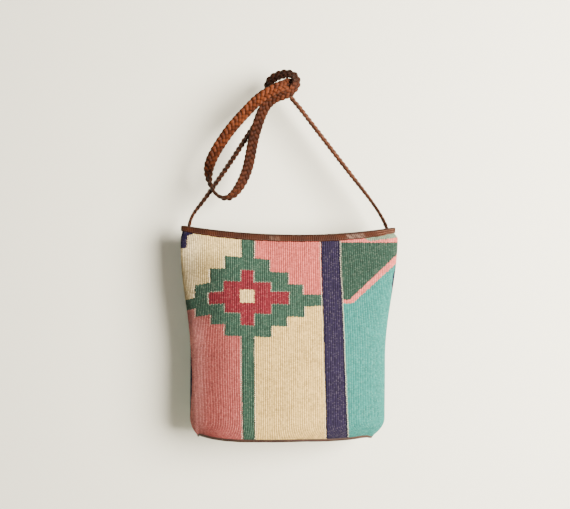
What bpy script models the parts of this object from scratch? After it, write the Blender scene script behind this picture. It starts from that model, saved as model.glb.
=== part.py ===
"""Kilim shoulder bag with a braided leather strap, hung up by the strap.

Metres, +Z up, +X to the wearer's right as the front is looked at, front towards -Y.
The origin is the place where the strap bears on the peg that the bag hangs from.
The woven front and back are sewn at the sides and lined, a leather strip binds
the mouth, a leather oval closes the base, and the strap is sewn inside the mouth.
"""

from functools import lru_cache
from math import cos, radians, sin, sqrt

import bmesh
import bpy
import numpy as np
from mathutils import Vector

# Bag body
HANG = 0.5033  # from the peg down to the base seam
BODY_HEIGHT = 0.2815  # base seam up to the lowest point of the mouth
MOUTH_WIDTH = 0.3015  # just below the rim
MOUTH_DEPTH = 0.040
MOUTH_END_POWER = 0.175  # blunt ends, because the strap's width holds them open
BELLY_WIDTH = 0.271
BELLY_DEPTH = 0.098
BELLY_END_POWER = 0.45
BASE_LENGTH = 0.241
BASE_DEPTH = 0.088
BASE_END_POWER = 0.5
FOOT_HEIGHT = 0.026  # height over which the walls turn in to the base
WIDENS_FROM = 0.110  # the sides widen between these two heights
WIDENS_TO = 0.275
FLATTENS_FROM = 0.100  # the depth falls from here up to the mouth
BASE_CENTRE = 0.0028  # the body leans a little to one side
BELLY_CENTRE = 0.0060
MOUTH_CENTRE = 0.0088
RIM_TUCK = 0.0036  # how far the rim pulls each side in
RIM_SHIFT = 0.0018  # and how far it pulls both towards the lean's foot
TUCK_BELOW = 0.0150  # it does so from here below the mouth's lowest point
TUCK_ABOVE = 0.0020
MOUTH_LOW_POINT = 0.024  # across, where the mouth sags most
LEFT_CORNER_RISE = 0.0129
RIGHT_CORNER_RISE = 0.0101
CORNER_HEIGHT = BODY_HEIGHT + RIGHT_CORNER_RISE

# Cloth and leather
CLEAR = 0.0003  # between pieces that touch
KILIM = 0.0025
RIB_HEIGHT = 0.0006
MEDALLION_RELIEF = 0.0006
RIBS = 50  # across one panel, each for two warps
LINING = 0.0008
LINING_EASE = 0.0015  # the lining hangs a little free of the cloth
LEATHER = 0.0012
RIM_DEPTH = 0.0098  # outside, in the middle of the mouth
RIM_CORNER_DEPTH = 0.0072
RIM_INSIDE = 0.0090
RIM_EDGE = 0.0009  # roundness of its top edge
BASE_THICKNESS = 0.0022
BASE_LIP = 0.0008  # how far the base stands out past the cloth

# Strap
STRAP_WIDTH = 0.0155
STRAP_THICKNESS = 0.0044
STRAP_FACE = 0.0120  # the flat part of its width
STRAP_EASE = 0.0010  # between its edges and the cloth
STRAP_INSIDE = 0.040  # sewn length below the mouth
STRAP_ENTRY = 0.006  # where it turns upright, just below the mouth
TAB_WIDTH = 0.0176
TAB_HEIGHT = 0.0260
TAB_THICKNESS = 0.0012
TAB_TOP = 0.0165  # below the mouth's corner

# Woven figure, across from the stem's middle line and up from the base seam
STEM_X = -0.0485
STEM_WIDTH = 0.0178
FIGURE_HEIGHT = 0.1932
CELL = (0.0102, 0.0118, -0.0064)  # half width, top and bottom
RED_STEPS = ((0.0098, 0.0385, -0.0375), (0.0335, 0.0235, -0.0214), (0.0573, 0.0085, -0.0080))
GREEN_STEPS = ((0.0318, 0.0578, -0.0539), (0.0543, 0.0385, -0.0378), (0.0752, 0.0210, -0.0246))
ARM = (0.0056, -0.0112)  # top and bottom of the arms
BAND_TOP_X = 0.0529  # left edge of the dark band at the mouth and at the base
BAND_BASE_X = 0.0600
BAND_WIDTH = 0.0290
STRIPE_LOW = 0.1870  # foot of the light stripe, where it leaves the dark band
STRIPE_LEVEL = 0.0120  # it runs level this far, then climbs
STRIPE_RISE = 0.94
STRIPE_HEIGHT = 0.0125
CORNER_PATCH = (-0.1325, 0.2640)  # dark corner: its right edge and its foot
BACK_EDGES = (-0.128, -0.070, -0.052, 0.018, 0.036, 0.090, 0.128)  # between its upright bands
BACK_BANDS = ("purple", "turquoise", "green", "cream", "purple", "pink", "turquoise", "purple")

COLOURS = {
    "cream": (222, 205, 176),
    "pink": (204, 136, 127),
    "green": (97, 119, 96),
    "red": (176, 75, 77),
    "purple": (88, 79, 102),
    "turquoise": (144, 187, 179),
    "lining": (196, 178, 148),
    "rim leather": (127, 72, 51),
    "base leather": (93, 66, 49),
    "strap leather": (146, 85, 54),
}

# Row heights of the front panel at the figure, where colours change or the wall bends
FRONT_LEVELS = (
    0, 0.005, 0.013, 0.026, 0.060, 0.099, FIGURE_HEIGHT - 0.0539, FIGURE_HEIGHT - 0.0377,
    FIGURE_HEIGHT - 0.0230, FIGURE_HEIGHT - 0.0096, FIGURE_HEIGHT + 0.0070, FIGURE_HEIGHT + 0.0118,
    FIGURE_HEIGHT + 0.0222, FIGURE_HEIGHT + 0.0385, FIGURE_HEIGHT + 0.0578,
)
BACK_LEVELS = (0, 0.005, 0.013, 0.026, 0.100, 0.160, 0.205, 0.245)
LINING_LEVELS = BACK_LEVELS[1:]
RIM_SHARE = 1 - RIM_DEPTH / BODY_HEIGHT  # a row at the foot of the rim


def mix(low, high, share):
    return low + (high - low) * share


def ease(value, start, end):
    share = min(max((value - start) / (end - start), 0), 1)
    return share * share * (3 - 2 * share)


def body_at(height):
    """Centre, half width, half depth and end power of the body's outline at a height."""
    foot = 1 - (1 - min(max(height / FOOT_HEIGHT, 0), 1)) ** 2
    widen = ease(height, WIDENS_FROM, WIDENS_TO)
    flatten = ease(height, FLATTENS_FROM, BODY_HEIGHT)
    tuck = ease(height, BODY_HEIGHT - TUCK_BELOW, BODY_HEIGHT + TUCK_ABOVE)
    lean = mix(mix(BASE_CENTRE, BELLY_CENTRE, foot), MOUTH_CENTRE, (height / BODY_HEIGHT) ** 2)
    centre = lean - RIM_SHIFT * tuck
    width = mix(mix(BASE_LENGTH, BELLY_WIDTH, foot), MOUTH_WIDTH, widen) - 2 * RIM_TUCK * tuck
    depth = mix(mix(BASE_DEPTH, BELLY_DEPTH, foot), MOUTH_DEPTH, flatten)
    power = mix(mix(BASE_END_POWER, BELLY_END_POWER, foot), MOUTH_END_POWER, flatten)
    return centre, width / 2, depth / 2, power


def mouth_height(x):
    """Height of the mouth's edge, which sags between its two corners."""
    centre, half_width, _, _ = body_at(BODY_HEIGHT)
    if x < MOUTH_LOW_POINT:
        reach, rise = MOUTH_LOW_POINT - (centre - half_width), LEFT_CORNER_RISE
    else:
        reach, rise = centre + half_width - MOUTH_LOW_POINT, RIGHT_CORNER_RISE
    return BODY_HEIGHT + rise * ((x - MOUTH_LOW_POINT) / reach) ** 2


@lru_cache(None)
def outline_angles(height):
    """Angles round half the outline at even steps of its length, one step for each half rib."""
    _, half_width, half_depth, power = body_at(height)
    angles = np.pi * (1 - (1 - np.cos(np.linspace(0, np.pi, 1601))) / 2)
    x = half_width * np.cos(angles)
    y = half_depth * np.maximum(np.sin(angles), 0) ** (2 * power)
    length = np.concatenate(([0], np.cumsum(np.hypot(np.diff(x), np.diff(y)))))
    even = np.interp(np.linspace(0, length[-1], 2 * RIBS + 1), length, angles)
    even[0], even[-1] = np.pi, 0
    return even


def wall_point(column, share, inset, side, drop=0.0, seam=0.0):
    """A point on the wall: a half rib's column, a share of the height and a depth into the wall.

    side is -1 at the front and 1 at the back. drop lowers the whole wall's top.
    """
    angle = outline_angles(share * BODY_HEIGHT)[column]
    centre, half_width, _, _ = body_at(share * BODY_HEIGHT)
    height = share * (mouth_height(centre + half_width * cos(angle)) - drop)
    centre, half_width, half_depth, power = body_at(height)
    out = max(sin(angle), 0) ** (2 * power)
    return Vector((
        centre + (half_width - inset) * cos(angle),
        side * ((half_depth - inset) * out + seam),
        height - HANG,
    ))


def even_columns(near, middle):
    """Columns that a coarser surface uses: each one near the ends, then fewer."""
    left = [*near, *middle]
    return left + [RIBS] + [2 * RIBS - c for c in reversed(left)]


WALL_COLUMNS = even_columns(range(9), (11, 15, 20, 26, 34, 42))
LINING_COLUMNS = even_columns(range(9), (13, 22, 34))


def front_colour(x, height):
    """The woven colour at a place on the front, by the real bag's fields."""
    across = x - STEM_X
    up = height - FIGURE_HEIGHT
    band = mix(BAND_BASE_X, BAND_TOP_X, height / BODY_HEIGHT)
    if x < CORNER_PATCH[0] and height > CORNER_PATCH[1]:
        return "purple"
    if abs(across) < CELL[0] and CELL[2] < up < CELL[1]:
        return "cream"
    if any(abs(across) < half and low < up < high for half, high, low in RED_STEPS):
        return "red"
    if any(abs(across) < half and low < up < high for half, high, low in GREEN_STEPS):
        return "green"
    if abs(across) < STEM_WIDTH / 2 or (ARM[1] < up < ARM[0] and x < band):
        return "green"
    if x < band:
        return "pink" if (across > 0) == (up > 0) else "cream"
    if x < band + BAND_WIDTH:
        return "purple"
    stripe = STRIPE_LOW + STRIPE_RISE * max(x - band - BAND_WIDTH - STRIPE_LEVEL, 0)
    if height > stripe + STRIPE_HEIGHT:
        return "green"
    return "pink" if height > stripe else "turquoise"


def back_colour(x, _height):
    """Plain upright bands, edged with the dark colour that shows at the sides."""
    return BACK_BANDS[sum(x > edge for edge in BACK_EDGES)]


@lru_cache(None)
def material(name, roughness=0.9):
    """A Principled material in one of the bag's colours."""
    made = bpy.data.materials.new(name)
    made.use_nodes = True
    shader = made.node_tree.nodes["Principled BSDF"]
    light = [((c / 255 + 0.055) / 1.055) ** 2.4 for c in COLOURS[name]]
    shader.inputs["Base Color"].default_value = (*light, 1)
    shader.inputs["Roughness"].default_value = roughness
    made.diffuse_color = (*light, 1)
    return made


def add_object(name, points, faces, colours, roughness, smooth=True):
    """A closed mesh as one named object; colours is one name, or one for each face."""
    mesh = bpy.data.meshes.new(name)
    mesh.from_pydata([tuple(p) for p in points], [], faces)
    names = [colours] if isinstance(colours, str) else sorted(set(colours))
    for colour in names:
        mesh.materials.append(material(colour, roughness))
    if not isinstance(colours, str):
        for face, colour in zip(mesh.polygons, colours):
            face.material_index = names.index(colour)
    work = bmesh.new()
    work.from_mesh(mesh)
    bmesh.ops.recalc_face_normals(work, faces=work.faces)
    work.to_mesh(mesh)
    work.free()
    if smooth:
        mesh.shade_smooth()
        mesh.set_sharp_from_angle(angle=radians(40))
    made = bpy.data.objects.new(name, mesh)
    bpy.context.scene.collection.objects.link(made)
    return made


def woven_panel(name, side, levels, colour_at):
    """One panel of ribbed cloth, with a plain inner face, cut off at the two side seams."""
    drop = LEATHER + CLEAR
    figure_top = mouth_height(STEM_X) - drop
    shares = [level / figure_top for level in levels] + [RIM_SHARE, 1.0]
    columns = range(2 * RIBS + 1)
    points, colours, faces = [], [], []

    def outer(row, column):
        return row * len(columns) + column

    for share in shares:
        for column in columns:
            bare = wall_point(column, share, 0, side, drop, CLEAR / 2)
            rib = RIB_HEIGHT if column % 2 else 0
            raised = colour_at(bare.x, bare.z + HANG) in ("red", "green") and side < 0 and share < RIM_SHARE
            inset = -rib - (MEDALLION_RELIEF if raised else 0)
            points.append(wall_point(column, share, inset, side, drop, CLEAR / 2))
    start = len(points)
    for share in shares:
        for column in WALL_COLUMNS:
            points.append(wall_point(column, share, KILIM, side, drop, CLEAR / 2))

    def inner(row, place):
        return start + row * len(WALL_COLUMNS) + place

    for row in range(len(shares) - 1):
        for column in columns[:-1]:
            corners = (
                outer(row, column), outer(row, column + 1),
                outer(row + 1, column + 1), outer(row + 1, column),
            )
            middle = sum((points[c] for c in corners), Vector()) / 4
            faces.append(corners)
            colours.append(colour_at(middle.x, middle.z + HANG))
        for place in range(len(WALL_COLUMNS) - 1):
            faces.append((
                inner(row, place), inner(row + 1, place), inner(row + 1, place + 1), inner(row, place + 1),
            ))
            colours.append("cream")
        for column, place in ((0, 0), (2 * RIBS, len(WALL_COLUMNS) - 1)):
            faces.append((outer(row, column), outer(row + 1, column), inner(row + 1, place), inner(row, place)))
            colours.append("cream")
    for row in (0, len(shares) - 1):
        for place in range(len(WALL_COLUMNS) - 1):
            edge = [outer(row, c) for c in range(WALL_COLUMNS[place], WALL_COLUMNS[place + 1] + 1)]
            faces.append((*edge, inner(row, place + 1), inner(row, place)))
            colours.append("cream")
    return add_object(name, points, faces, colours, 0.95)


def ring_columns(columns):
    """Columns all the way round the body, as (column, side)."""
    front = [(c, -1) for c in columns]
    return front + [(c, 1) for c in reversed(columns[1:-1])]


def ring_faces(rows, count, closed):
    """Faces between rows of points round the body; closed joins the last row to the first."""
    faces = []
    for row in range(rows if closed else rows - 1):
        after = (row + 1) % rows
        for place in range(count):
            beside = (place + 1) % count
            faces.append((row * count + place, row * count + beside, after * count + beside, after * count + place))
    return faces


def make_lining():
    """A thin cotton bag inside the woven one, open at the top, up to the rim's inner edge."""
    drop = RIM_INSIDE + CLEAR
    top = mouth_height(STEM_X) - drop
    shares = [level / top for level in LINING_LEVELS] + [1.0]
    outside = KILIM + LINING_EASE
    inside = outside + LINING
    round_body = ring_columns(LINING_COLUMNS)
    rows = [(0.0, outside)] + [(s, outside) for s in shares]
    rows += [(s, inside) for s in reversed(shares)] + [(LINING / top, inside)]
    points = [wall_point(c, share, inset, side, drop) for share, inset in rows for c, side in round_body]
    count = len(round_body)
    faces = ring_faces(len(rows), count, closed=False)
    faces.append(tuple(range(count)))
    faces.append(tuple(range((len(rows) - 1) * count, len(rows) * count)))
    return add_object("lining", points, faces, "lining", 0.95)


def make_rim():
    """The leather strip folded over the mouth's edge, outside and inside."""
    outer = RIB_HEIGHT + CLEAR
    inner = KILIM + CLEAR
    round_body = ring_columns(WALL_COLUMNS)
    points = []

    def row(inset, drop_of):
        for column, side in round_body:
            angle = outline_angles(BODY_HEIGHT)[column]
            points.append(wall_point(column, 1.0, inset, side, drop_of(abs(cos(angle)))))

    def outside_depth(toward_corner):
        return mix(RIM_DEPTH, RIM_CORNER_DEPTH, toward_corner**4)

    profile = (
        (-outer - LEATHER, outside_depth),
        (-outer - LEATHER, lambda _: RIM_EDGE),
        (-outer - LEATHER + RIM_EDGE, lambda _: 0.0),
        (inner + LEATHER - RIM_EDGE, lambda _: 0.0),
        (inner + LEATHER, lambda _: RIM_EDGE),
        (inner + LEATHER, lambda _: RIM_INSIDE),
        (inner, lambda _: RIM_INSIDE),
        (inner, lambda _: LEATHER),
        (-outer, lambda _: LEATHER),
        (-outer, outside_depth),
    )
    for inset, drop_of in profile:
        row(inset, drop_of)
    faces = ring_faces(len(profile), len(round_body), closed=True)
    return add_object("rim_binding", points, faces, "rim leather", 0.45)


def make_base():
    """The oval leather base, whose edge shows below the cloth."""
    round_body = ring_columns(WALL_COLUMNS)
    bevel = BASE_THICKNESS / 4
    rows = (
        (0.0, CLEAR), (BASE_LIP, CLEAR + bevel),
        (BASE_LIP, CLEAR + BASE_THICKNESS - bevel), (0.0, CLEAR + BASE_THICKNESS),
    )
    points = []
    for out, down in rows:
        for column, side in round_body:
            point = wall_point(column, 0.0, -out, side)
            points.append(point - Vector((0, 0, down)))
    count = len(round_body)
    faces = ring_faces(len(rows), count, closed=False)
    faces.append(tuple(range(count)))
    faces.append(tuple(range((len(rows) - 1) * count, len(rows) * count)))
    return add_object("base_leather", points, faces, "base leather", 0.6)


def inside_reach(half_gap):
    """How far from the mouth's centre the space inside the rim is still this deep."""
    _, half_width, half_depth, power = body_at(CORNER_HEIGHT)
    inset = KILIM + max(LINING_EASE + LINING, CLEAR + LEATHER)
    return (half_width - inset) * sqrt(1 - (half_gap / (half_depth - inset)) ** (1 / power))


# Strap route between the mouth's corners, in units of ROUTE_UNIT: across, depth, up, and the
# turn of the strap's width from straight back, at 0, to facing the viewer, at 90 degrees
ROUTE_UNIT = 0.001
LEFT_LEG = (
    (-127.8, 0.5, -196.7, 4), (-116.6, 1, -180.3, 6), (-101.9, 3, -159.9, 8),
    (-81.9, 5, -130.9, 11), (-65.2, 6.5, -105.7, 14), (-44.8, 8, -73.6, 15),
)
TURNS = (
    (-31.5, 8.5, -52.5, 15), (-24.5, 8.5, -34.3, 17), (-22.7, 8, -18.9, 26),
    (-20.3, 7, -8.0, 42), (-14.0, 5.5, -0.3, 50), (-4.6, 3.5, 3.9, 50), (4.3, 1, 5.0, 48),
    (12.8, -2, 2.6, 45), (17.6, -5, -3.2, 44), (18.3, -8, -11.0, 46), (12.5, -10.5, -20.5, 50),
    (3.2, -11.5, -26.4, 56), (-10.5, -11, -31.1, 61), (-21.4, -9.5, -39.3, 66),
    (-29.5, -8, -52.8, 69), (-35.8, -6.5, -69.9, 70), (-41.8, -5, -91.4, 71),
    (-45.6, -4, -111.6, 71), (-50.2, -4, -130.9, 68), (-57.1, -5, -147.7, 60),
    (-66.0, -7, -161.7, 44), (-76.6, -9.5, -169.9, 22), (-86.7, -12, -169.4, 6),
    (-95.2, -14, -162.6, 4), (-101.4, -15, -149.7, 22), (-103.0, -16, -135.9, 55),
    (-101.2, -16.5, -124.9, 78), (-92.3, -17, -105.7, 88), (-73.9, -17.5, -78.3, 90),
    (-61.3, -18, -63.4, 90), (-42.4, -19, -43.5, 90), (-28.5, -20, -31.4, 90),
    (-15.6, -20, -23.8, 90), (-3.3, -18, -17.4, 90), (4.5, -13, -13.6, 88),
    (7.8, -5, -10.2, 80), (9.5, 3, -16.8, 50), (11.6, 8, -27.3, 18), (18.9, 9, -36.8, 9),
    (27.6, 8.5, -47.7, 8),
)
RIGHT_LEG = (
    (65.0, 6, -97.0, 8), (103.7, 3, -147.8, 4), (130.2, 1, -183.7, 1),
)
# Where the route's drawing puts the mouth's corners
LEG_FEET = ((-132.08, -208.94), (146.49, -211.70))
STRAP_STATIONS = 100


def corner_top(side):
    """Height of the mouth's corner at one end, in the bag's frame."""
    centre, half_width, _, _ = body_at(CORNER_HEIGHT)
    return mouth_height(centre + side * half_width) - HANG


def strap_foot(side):
    """Where the strap stands inside one corner of the mouth."""
    return body_at(CORNER_HEIGHT)[0] + side * inside_reach(STRAP_WIDTH / 2 + STRAP_EASE)


def leg_keys(leg, side, top_key, foot):
    """A leg's keys, drawn out from the turns' end so that they meet the mouth's corner."""
    reach = strap_foot(side) / ROUTE_UNIT - top_key[0]
    fall = corner_top(side) / ROUTE_UNIT - top_key[2]
    wide, tall = reach / (foot[0] - top_key[0]), fall / (foot[1] - top_key[2])
    return [
        (mix(top_key[0], x, wide), y, mix(top_key[2], z, tall), turn) for x, y, z, turn in leg
    ]


def strap_keys():
    """The strap's route with its two sewn ends, in metres."""
    left = leg_keys(LEFT_LEG, -1, TURNS[0], LEG_FEET[0])
    right = leg_keys(RIGHT_LEG, 1, TURNS[-1], LEG_FEET[1])
    keys = [
        np.array((x * ROUTE_UNIT, y * ROUTE_UNIT, z * ROUTE_UNIT, radians(turn)))
        for x, y, z, turn in (*left, *TURNS, *right)
    ]
    ends = []
    for side in (-1, 1):
        top = corner_top(side)
        ends.append([
            np.array((strap_foot(side), 0, top - depth, 0))
            for depth in (STRAP_INSIDE, STRAP_INSIDE / 2, STRAP_ENTRY)
        ])
    return ends[0] + keys + ends[1][::-1]


def through(keys, count):
    """Even places along one smooth curve through the keys."""
    keys = np.array(keys)
    times = np.concatenate(([0], np.cumsum(np.linalg.norm(np.diff(keys[:, :3], axis=0), axis=1) ** 0.75)))
    gaps = np.diff(times)
    size = len(times)
    system = np.eye(size)
    slopes = np.zeros((size, keys.shape[1]))
    for i in range(1, size - 1):
        system[i, i - 1:i + 2] = gaps[i], 2 * (gaps[i - 1] + gaps[i]), gaps[i - 1]
        before = (keys[i] - keys[i - 1]) / gaps[i - 1]
        after = (keys[i + 1] - keys[i]) / gaps[i]
        slopes[i] = 3 * (gaps[i] * before + gaps[i - 1] * after)
    slopes[0] = (keys[1] - keys[0]) / gaps[0]
    slopes[-1] = (keys[-1] - keys[-2]) / gaps[-1]
    slopes = np.linalg.solve(system, slopes)
    places = np.interp(np.linspace(0, size - 1, count), np.arange(size), times)
    spots = []
    for time in places:
        i = min(int(np.searchsorted(times, time, side="right")) - 1, size - 2)
        t = (time - times[i]) / gaps[i]
        spots.append(
            (2 * t**3 - 3 * t**2 + 1) * keys[i] + (t**3 - 2 * t**2 + t) * gaps[i] * slopes[i]
            + (3 * t**2 - 2 * t**3) * keys[i + 1] + (t**3 - t**2) * gaps[i] * slopes[i + 1]
        )
    return np.array(spots)


def strap_frames(count):
    """Centre, width direction and face direction at places along the strap."""
    spots = through(strap_keys(), count)
    along = np.gradient(spots[:, :3], axis=0)
    frames = []
    for spot, direction in zip(spots, along):
        run = Vector(direction).normalized()
        flat = Vector((-run.z, 0, run.x)).normalized()
        width = Vector((0, 1, 0)) * cos(spot[3]) + flat * sin(spot[3])
        width = (width - run * width.dot(run)).normalized()
        frames.append((Vector(spot[:3]), width, run.cross(width)))
    return frames


def make_strap():
    """The flat braided strap, as a plain band with thinner edges."""
    half, face, thick = STRAP_WIDTH / 2, STRAP_FACE / 2, STRAP_THICKNESS / 2
    profile = ((half, 0), (face, thick), (-face, thick), (-half, 0), (-face, -thick), (face, -thick))
    points = []
    for centre, width, out in strap_frames(STRAP_STATIONS):
        points += [centre + width * across + out * up for across, up in profile]
    count = len(profile)
    faces = ring_faces(STRAP_STATIONS, count, closed=False)
    faces.append(tuple(range(count)))
    faces.append(tuple(range((STRAP_STATIONS - 1) * count, STRAP_STATIONS * count)))
    return add_object("strap", points, faces, "strap leather", 0.5)


def make_tab(name, side):
    """The leather patch that is sewn over the strap's end, inside the mouth."""
    centre = body_at(CORNER_HEIGHT)[0]
    face = abs(strap_foot(side) - centre) - STRAP_THICKNESS / 2 - CLEAR
    face = min(face, inside_reach(TAB_WIDTH / 2 + CLEAR))
    x = sorted((centre + side * face, centre + side * (face - TAB_THICKNESS)))
    top = corner_top(side) - TAB_TOP
    z = (top - TAB_HEIGHT, top)
    y = (-TAB_WIDTH / 2, TAB_WIDTH / 2)
    points = [(a, b, c) for a in x for b in y for c in z]
    faces = [(0, 1, 3, 2), (4, 6, 7, 5), (0, 4, 5, 1), (2, 3, 7, 6), (0, 2, 6, 4), (1, 5, 7, 3)]
    return add_object(name, points, faces, "base leather", 0.6, smooth=False)


def build():
    for old in list(bpy.data.objects):
        bpy.data.objects.remove(old)
    woven_panel("kilim_front", -1, FRONT_LEVELS, front_colour)
    woven_panel("kilim_back", 1, BACK_LEVELS, back_colour)
    make_lining()
    make_rim()
    make_base()
    make_strap()
    make_tab("strap_tab_left", -1)
    make_tab("strap_tab_right", 1)


build()
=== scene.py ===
"""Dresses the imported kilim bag: ribbed cloth, leather rim and base, braided strap, stitching.

Metres, +Z up, front towards -Y. The origin is where the strap bears on its peg.
"""

from math import cos, pi, radians, sin, sqrt

import bpy
import numpy as np
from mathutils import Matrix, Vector


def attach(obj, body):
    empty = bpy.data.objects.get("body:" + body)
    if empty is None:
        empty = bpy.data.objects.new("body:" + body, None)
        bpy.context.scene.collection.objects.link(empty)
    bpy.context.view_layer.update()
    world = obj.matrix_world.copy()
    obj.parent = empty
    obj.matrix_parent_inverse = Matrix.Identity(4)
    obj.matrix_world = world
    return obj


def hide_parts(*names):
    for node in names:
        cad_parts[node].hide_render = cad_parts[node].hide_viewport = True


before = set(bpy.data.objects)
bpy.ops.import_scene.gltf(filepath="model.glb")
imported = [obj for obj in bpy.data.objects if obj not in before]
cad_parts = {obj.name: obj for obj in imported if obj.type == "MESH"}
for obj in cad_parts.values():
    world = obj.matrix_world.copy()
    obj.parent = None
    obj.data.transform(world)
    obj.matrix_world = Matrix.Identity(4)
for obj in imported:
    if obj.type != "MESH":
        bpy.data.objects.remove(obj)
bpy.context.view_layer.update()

CAMERA = (0.0028, -1.2, -0.2492)
LENS = 54.1
FIGURE_MIDDLE = (-0.0496, -0.3074)  # the medallion's middle as the camera sees it, at depth 0

# Bag body, as in the part's source
HANG = 0.5033
BODY_HEIGHT = 0.2815
MOUTH_WIDTH = 0.3015
MOUTH_DEPTH = 0.040
MOUTH_END_POWER = 0.175
BELLY_WIDTH = 0.271
BELLY_DEPTH = 0.098
BELLY_END_POWER = 0.45
BASE_LENGTH = 0.241
BASE_DEPTH = 0.088
BASE_END_POWER = 0.5
FOOT_HEIGHT = 0.026
WIDENS_FROM = 0.110
WIDENS_TO = 0.275
FLATTENS_FROM = 0.100
BASE_CENTRE = 0.0028
BELLY_CENTRE = 0.0060
MOUTH_CENTRE = 0.0088
RIM_TUCK = 0.0036
RIM_SHIFT = 0.0018
TUCK_BELOW = 0.0050  # in the real cloth the rim's pull starts just below its edge
TUCK_ABOVE = 0.0035
MOUTH_LOW_POINT = 0.024
LEFT_CORNER_RISE = 0.0129
RIGHT_CORNER_RISE = 0.0101
CORNER_HEIGHT = BODY_HEIGHT + RIGHT_CORNER_RISE
CLEAR = 0.0003
KILIM = 0.0025
RIB_HEIGHT = 0.0006
LINING = 0.0008
LINING_EASE = 0.0015
LEATHER = 0.0012
RIM_DEPTH = 0.0098
RIM_CORNER_DEPTH = 0.0072
RIM_INSIDE = 0.0090
BASE_THICKNESS = 0.0022
BASE_LIP = 0.0008
STRAP_WIDTH = 0.0155
STRAP_THICKNESS = 0.0044
STRAP_EASE = 0.0010
STRAP_INSIDE = 0.040
STRAP_ENTRY = 0.006
TAB_WIDTH = 0.0176
TAB_HEIGHT = 0.0260
TAB_THICKNESS = 0.0012
TAB_TOP = 0.0165

# How far the front's lower edge is drawn up: place along the base, and lift
PINCH = (
    (-0.1225, 0), (-0.1190, 0.0005), (-0.1165, 0.0042), (-0.109, 0.0041), (-0.099, 0.0031),
    (-0.080, 0.0020), (-0.059, 0.0018), (-0.029, 0.0026), (0.010, 0.0032), (0.030, 0.0036),
    (0.060, 0.0030), (0.090, 0.0032), (0.108, 0.0040), (0.116, 0.0034), (0.124, 0),
)
PINCH_FRONT, PINCH_BACK = -0.004, 0.012  # depths where the lift is whole, and gone
PINCH_HEIGHT = 0.030  # the lift is gone above this height

# The real cloth
RIBS = 124  # upright ribs across one panel
STEPS = 4  # columns of the mesh to one rib
RIB_PROFILE = (0.0, 0.72, 1.0, 0.72)
ROWS = np.concatenate((
    [0, 0.0012, 0.0026, 0.0042, 0.0062, 0.0085, 0.0112], np.linspace(0.0142, 1, 86),
))
PICK = 1.3  # millimetres up the cloth from one weft to the next
TOOTH = 2.6  # millimetres up the cloth from one tooth of a join to the next

# Soft swells and dents of the cloth: across, up, how wide, how tall and how far out
FRONT_SWELLS = (
    (-0.105, -0.40, 0.020, 0.060, -0.0016), (-0.070, -0.46, 0.030, 0.022, 0.0012),
    (0.085, -0.27, 0.030, 0.018, -0.0014), (0.115, -0.24, 0.022, 0.012, 0.0012),
    (0.010, -0.36, 0.060, 0.080, 0.0010), (-0.125, -0.28, 0.018, 0.030, 0.0010),
    (0.120, -0.42, 0.018, 0.050, 0.0012),
)
BACK_SWELLS = (
    (0.060, -0.38, 0.050, 0.070, 0.0012), (-0.050, -0.30, 0.040, 0.030, -0.0014),
    (-0.080, -0.44, 0.030, 0.050, 0.0010),
)

# Strap route between the mouth's corners, in millimetres: across, depth, up, and the turn
# of the strap's width from straight back, at 0, to facing the viewer, at 90 degrees
ROUTE = (
    (-127.8, 0.5, -196.7, 8), (-116.6, 1, -180.3, 15), (-101.9, 3, -159.9, 20),
    (-81.9, 5, -130.9, 23), (-65.2, 6.5, -105.7, 25), (-44.8, 8, -73.6, 24),
    (-31.5, 8.5, -52.5, 20), (-24.5, 8.5, -34.3, 19), (-22.7, 8, -18.9, 26),
    (-20.3, 7, -8.4, 48), (-14.0, 5.5, -1.3, 60), (-4.6, 3.5, 2.8, 62), (4.3, 1, 4.0, 58),
    (12.8, -2, 2.0, 50), (17.6, -5, -3.2, 44), (18.3, -8, -11.0, 46), (12.5, -10.5, -20.5, 50),
    (3.2, -11.5, -26.4, 56), (-10.5, -11, -31.1, 61), (-21.4, -9.5, -39.3, 66),
    (-29.5, -8, -52.8, 69), (-35.8, -6.5, -69.9, 70), (-41.8, -5, -91.4, 71),
    (-45.6, -4, -111.6, 71), (-50.2, -4, -130.9, 68), (-57.1, -5, -147.7, 60),
    (-66.0, -7, -161.7, 44), (-76.6, -9.5, -169.9, 22), (-86.7, -12, -169.4, 6),
    (-95.2, -14, -162.6, 4), (-101.4, -15, -149.7, 22), (-103.0, -16, -135.9, 55),
    (-101.2, -16.5, -124.9, 78), (-92.3, -17, -105.7, 88), (-73.9, -17.5, -78.3, 90),
    (-61.3, -18, -63.4, 90), (-42.4, -19, -43.5, 90), (-28.5, -20, -31.4, 90),
    (-15.6, -20, -23.8, 90), (-3.3, -18, -17.4, 90), (4.5, -13, -13.6, 88),
    (7.8, -5, -10.2, 80), (9.5, 3, -16.8, 50), (11.6, 8, -27.3, 22), (18.9, 9, -36.8, 20),
    (27.6, 8.5, -47.7, 20), (65.0, 6, -97.0, 20), (103.7, 3, -147.8, 16), (130.2, 1, -183.7, 7),
)
THONGS = 5
PLAIT = 0.036  # length in which a thong crosses the strap and comes back
PLAIT_THICKNESS = STRAP_THICKNESS * 1.12
THONG_WIDTH = 0.0054
THONG_THICKNESS = 0.0026
THONG_SWING = STRAP_WIDTH / 2 - THONG_WIDTH * 0.44  # a thong's middle, to each side
THONG_SIDES = 8
STRAP_STEPS = 760

# Stitches: from one to the next, length and thickness
RIM_STITCH = (0.0031, 0.0021, 0.00055)
BASE_STITCH = (0.0042, 0.0030, 0.0006)
TAB_STITCH = (0.0032, 0.0022, 0.0006)
SIDE_STITCH = (0.0042, 0.0008)  # length and thickness
SIDE_STITCHES = 74


# Finishes


def operation(kind):
    """A method of Value that adds one Math node."""
    def method(self, *others):
        return self.finish.node("ShaderNodeMath", {"operation": kind}, (self, *others))
    return method


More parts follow.
